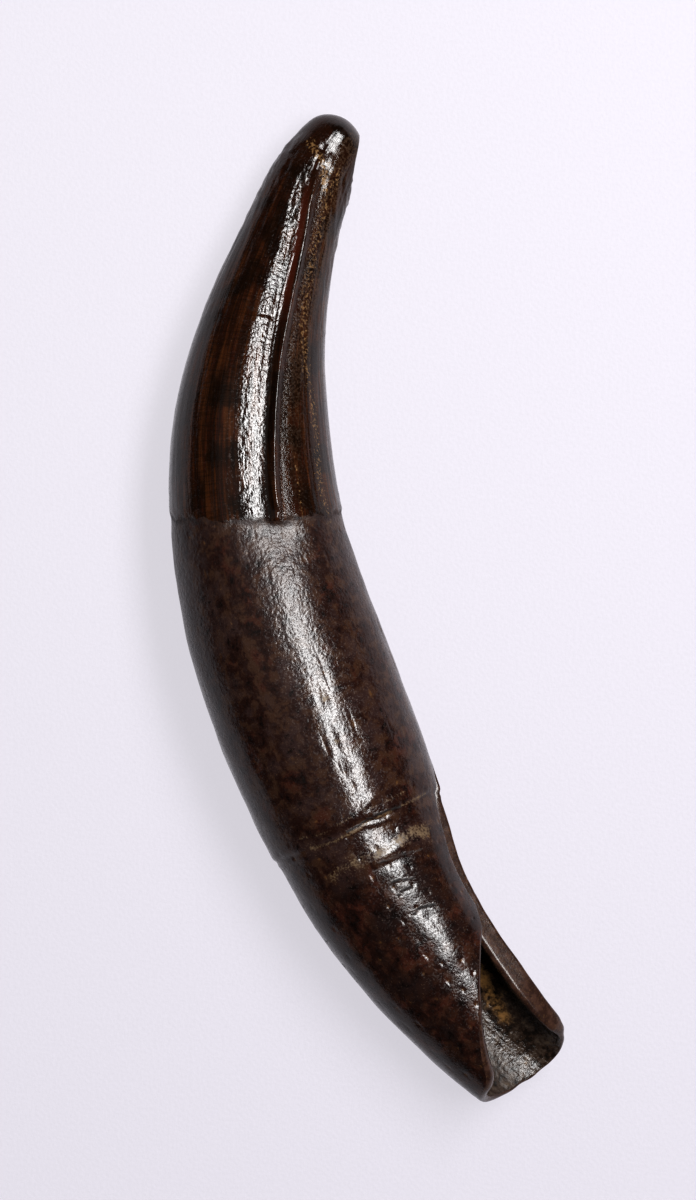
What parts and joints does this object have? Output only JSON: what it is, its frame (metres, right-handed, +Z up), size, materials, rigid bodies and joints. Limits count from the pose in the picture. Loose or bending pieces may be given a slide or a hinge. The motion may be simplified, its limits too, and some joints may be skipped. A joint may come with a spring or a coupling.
{
  "type": "fossil crocodile tooth",
  "caption": "Long, curved conical tooth with a keeled, lightly ribbed crown and a dark hollow root broken open at its lower end, lying on its side.",
  "frame": {"origin": "middle of the bounding box in plan, on the surface the tooth lies on", "axes": "+Y from the broken root towards the tip of the crown, +X towards the hollow side of the bend, +Z up, away from the surface"},
  "size_m": [0.017, 0.0424, 0.0075],
  "materials": {
    "fossil_tooth": "dark chocolate brown, almost black, mineralised and polished by handling, with fine ochre staining"
  },
  "bodies": {
    "root": {"tooth": "fossil_tooth"}
  },
  "joints": []
}
